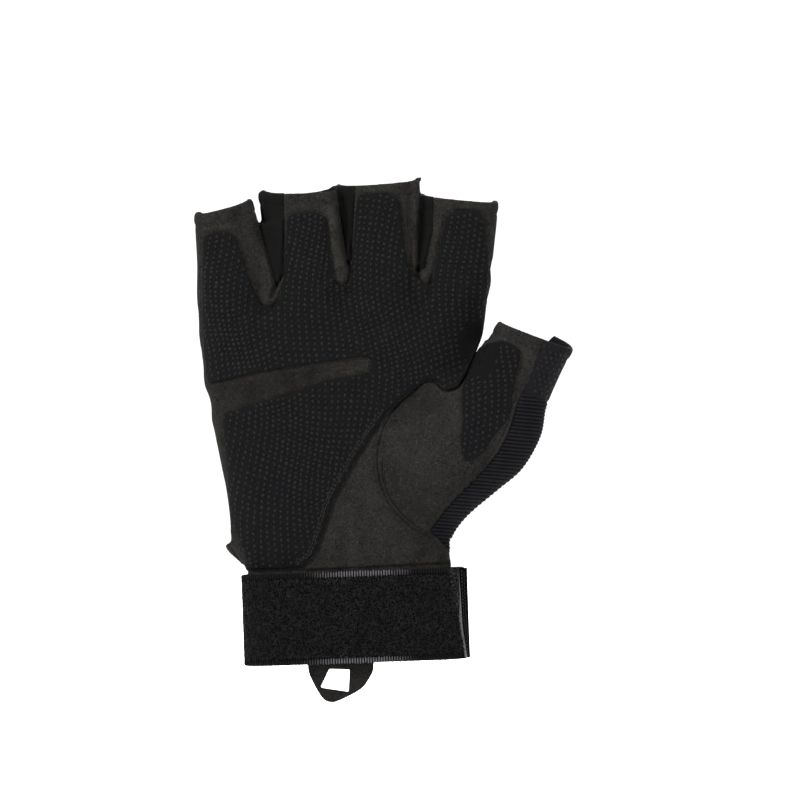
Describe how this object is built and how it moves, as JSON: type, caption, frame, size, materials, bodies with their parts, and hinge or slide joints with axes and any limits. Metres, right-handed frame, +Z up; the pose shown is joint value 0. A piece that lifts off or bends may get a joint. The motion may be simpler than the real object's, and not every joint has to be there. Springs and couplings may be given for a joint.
{
  "type": "fingerless tactical glove",
  "caption": "Right-hand glove with short open fingers and thumb, suede palm with dotted grip fabric, knit back, ribbed thumb side, loop-pile wrist strap and a pull loop.",
  "frame": {"origin": "middle of the wrist opening, where the hand goes in", "axes": "+Z up along the fingers, -Y out of the palm, +X towards the thumb"},
  "size_m": [0.1356, 0.048, 0.1878],
  "materials": {
    "suede": "matte napped suede",
    "grip_knit": "navy black knit with raised dots",
    "back_knit": "matte stretch knit",
    "rib_knit": "ribbed stretch knit",
    "tape": "woven tape",
    "loop_pile": "loop pile",
    "film": "glossy film"
  },
  "bodies": {
    "root": {"palm_panel": "suede", "back_panel": "back_knit", "thumb_panel": "suede", "thumb_rib_panel": "rib_knit", "thumb_top_panel": "grip_knit", "grip_fabric": "grip_knit", "thumb_grip": "grip_knit", "pull_loop": "suede", "side_wall_little_ring": "back_knit", "side_wall_ring_middle": "back_knit", "side_wall_middle_index": "back_knit", "wrist_strap": "tape", "strap_pile": "loop_pile", "strap_end_wrap": "film", "strap_closing_tab": "tape"}
  },
  "joints": []
}
